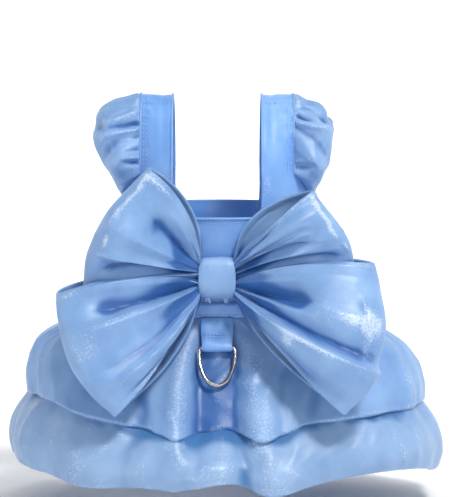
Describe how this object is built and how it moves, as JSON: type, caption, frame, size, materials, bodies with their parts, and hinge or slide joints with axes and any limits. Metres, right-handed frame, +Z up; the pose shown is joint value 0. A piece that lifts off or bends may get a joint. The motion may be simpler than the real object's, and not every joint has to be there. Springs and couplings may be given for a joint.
{
  "type": "dog tutu dress",
  "caption": "Small dog's tutu dress: square-necked bodice with wide straps and puff sleeves, tiered gathered skirt, large double bow at the waist and a metal lead ring on a tab.",
  "frame": {"origin": "at the level of the shoulder tops, on the axis of the body that wears the dress", "axes": "+Z up along the body toward the neck; -Y is the side with the bow, which lies on the dog's back; +X is to the right of that side as it is seen"},
  "size_m": [0.2822, 0.2243, 0.2414],
  "materials": {
    "organza": "light sky blue shimmer organza, satiny, with pale sheen on its folds",
    "bodice_cloth": "sky blue shimmer cloth, smooth, backed",
    "ring_metal": "bright nickel plate"
  },
  "bodies": {
    "root": {"bodice": "bodice_cloth", "strap_left": "bodice_cloth", "strap_right": "bodice_cloth", "sleeve_left": "organza", "sleeve_right": "organza", "waistband": "bodice_cloth", "placket": "bodice_cloth", "skirt_upper": "organza", "skirt_lower": "organza", "bow_upper": "organza", "bow_lower": "organza", "bow_knot": "organza", "ring_tab": "bodice_cloth", "lead_ring": "ring_metal"}
  },
  "joints": []
}
